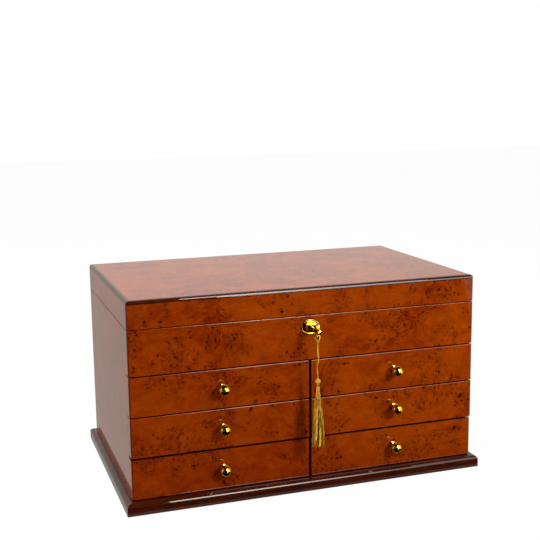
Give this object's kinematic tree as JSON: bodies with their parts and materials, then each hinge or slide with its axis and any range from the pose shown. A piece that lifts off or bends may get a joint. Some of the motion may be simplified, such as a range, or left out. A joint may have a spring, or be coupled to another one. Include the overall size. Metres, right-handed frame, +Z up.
{
  "type": "cigar humidor",
  "caption": "Table cigar humidor: hinged lid over a cedar-lined compartment, drawers in pairs with ball knobs below, moulded plinth, key with a tassel in the front lock.",
  "frame": {"origin": "centre of the felt face that it rests on", "axes": "+X to the right along the width, +Y to the back, +Z up; the front faces -Y"},
  "size_m": [0.406, 0.2808, 0.2239],
  "materials": {
    "burl_veneer": "high gloss lacquer",
    "mahogany": "high gloss lacquer",
    "cedar": "unfinished, fine sanded",
    "carcass": "satin",
    "brass": "polished",
    "felt": "matte nap",
    "black_plastic": "satin",
    "foam": "matte, open cells",
    "glass": "clear",
    "dial": "satin print",
    "needle": "satin",
    "gold_yarn": "silky sheen"
  },
  "bodies": {
    "cabinet": {"felt_pad": "felt", "plinth_mouldings": "mahogany", "base_panel": "carcass", "side_left": "burl_veneer", "side_right": "burl_veneer", "back_panel": "burl_veneer", "front_rail": "burl_veneer", "deck_panel": "carcass", "shelf_lower": "carcass", "shelf_upper": "carcass", "centre_partitions": "carcass", "lining_walls": "cedar", "lining_floor": "cedar", "lock_case": "brass", "lock_screws": "brass", "escutcheon": "brass", "hinge_leaves_lower": "brass", "hinge_pins": "brass", "hinge_screws_lower": "brass"},
    "lid": {"lid_top": "burl_veneer", "lid_edge_beads": "mahogany", "lid_walls": "burl_veneer", "lid_lining_top": "cedar", "lid_lining_sides": "cedar", "hinge_leaves_upper": "brass", "hinge_screws_upper": "brass", "strike_plate": "brass", "strike_screws": "brass", "hygrometer_case": "brass", "hygrometer_dial": "dial", "hygrometer_glass": "glass", "humidifier_case": "black_plastic", "humidifier_foam": "foam"},
    "needle": {"hygrometer_needle": "needle"},
    "divider": {"divider": "cedar"},
    "lock_bolt": {"lock_bolt": "brass"},
    "key": {"key": "brass"},
    "tassel": {"tassel_loop": "gold_yarn", "tassel_cord": "gold_yarn", "tassel_head": "gold_yarn", "tassel_skirt": "gold_yarn"},
    "drawer_top_left": {"drawer_top_left_front": "burl_veneer", "drawer_top_left_box": "cedar", "drawer_top_left_knob": "brass"},
    "drawer_top_right": {"drawer_top_right_front": "burl_veneer", "drawer_top_right_box": "cedar", "drawer_top_right_knob": "brass"},
    "drawer_middle_left": {"drawer_middle_left_front": "burl_veneer", "drawer_middle_left_box": "cedar", "drawer_middle_left_knob": "brass"},
    "drawer_middle_right": {"drawer_middle_right_front": "burl_veneer", "drawer_middle_right_box": "cedar", "drawer_middle_right_knob": "brass"},
    "drawer_bottom_left": {"drawer_bottom_left_front": "burl_veneer", "drawer_bottom_left_box": "cedar", "drawer_bottom_left_knob": "brass"},
    "drawer_bottom_right": {"drawer_bottom_right_front": "burl_veneer", "drawer_bottom_right_box": "cedar", "drawer_bottom_right_knob": "brass"}
  },
  "joints": [
    {"name": "lid_hinge", "type": "hinge", "parent": "cabinet", "child": "lid", "pos_m": [0, 0.1239, 0.194], "axis": [-1, 0, 0], "range_deg": [0, 95]},
    {"name": "needle_turn", "type": "hinge", "parent": "lid", "child": "needle", "pos_m": [-0.105, 0, 0.2119], "axis": [0, 0, 1], "range_deg": [-183.6, 86.4]},
    {"name": "divider_slide", "type": "slide", "parent": "cabinet", "child": "divider", "axis": [1, 0, 0], "range_m": [-0.12, 0.12]},
    {"name": "key_turn", "type": "hinge", "parent": "cabinet", "child": "key", "pos_m": [0, -0.1215, 0.1813], "axis": [0, -1, 0], "range_deg": [0, 90]},
    {"name": "bolt_slide", "type": "slide", "parent": "cabinet", "child": "lock_bolt", "axis": [1, 0, 0], "range_m": [0, 0.005]},
    {"name": "tassel_swing", "type": "hinge", "parent": "key", "child": "tassel", "pos_m": [0, -0.1441, 0.17435], "axis": [0, -1, 0], "range_deg": [-90, 0]},
    {"name": "drawer_top_left_slide", "type": "slide", "parent": "cabinet", "child": "drawer_top_left", "axis": [0, -1, 0], "range_m": [0, 0.15], "deforming": ["tassel_cord", "tassel_head", "tassel_skirt"]},
    {"name": "drawer_top_right_slide", "type": "slide", "parent": "cabinet", "child": "drawer_top_right", "axis": [0, -1, 0], "range_m": [0, 0.15], "deforming": ["tassel_cord", "tassel_head", "tassel_skirt"]},
    {"name": "drawer_middle_left_slide", "type": "slide", "parent": "cabinet", "child": "drawer_middle_left", "axis": [0, -1, 0], "range_m": [0, 0.15], "deforming": ["tassel_skirt"]},
    {"name": "drawer_middle_right_slide", "type": "slide", "parent": "cabinet", "child": "drawer_middle_right", "axis": [0, -1, 0], "range_m": [0, 0.15], "deforming": ["tassel_skirt"]},
    {"name": "drawer_bottom_left_slide", "type": "slide", "parent": "cabinet", "child": "drawer_bottom_left", "axis": [0, -1, 0], "range_m": [0, 0.15], "deforming": ["tassel_skirt"]},
    {"name": "drawer_bottom_right_slide", "type": "slide", "parent": "cabinet", "child": "drawer_bottom_right", "axis": [0, -1, 0], "range_m": [0, 0.15], "deforming": ["tassel_skirt"]}
  ],
  "couplings": [
    {"joint": "key_turn", "follows": "bolt_slide", "rad_per_m": 314.15},
    {"joint": "tassel_swing", "follows": "bolt_slide", "rad_per_m": -314.15}
  ]
}
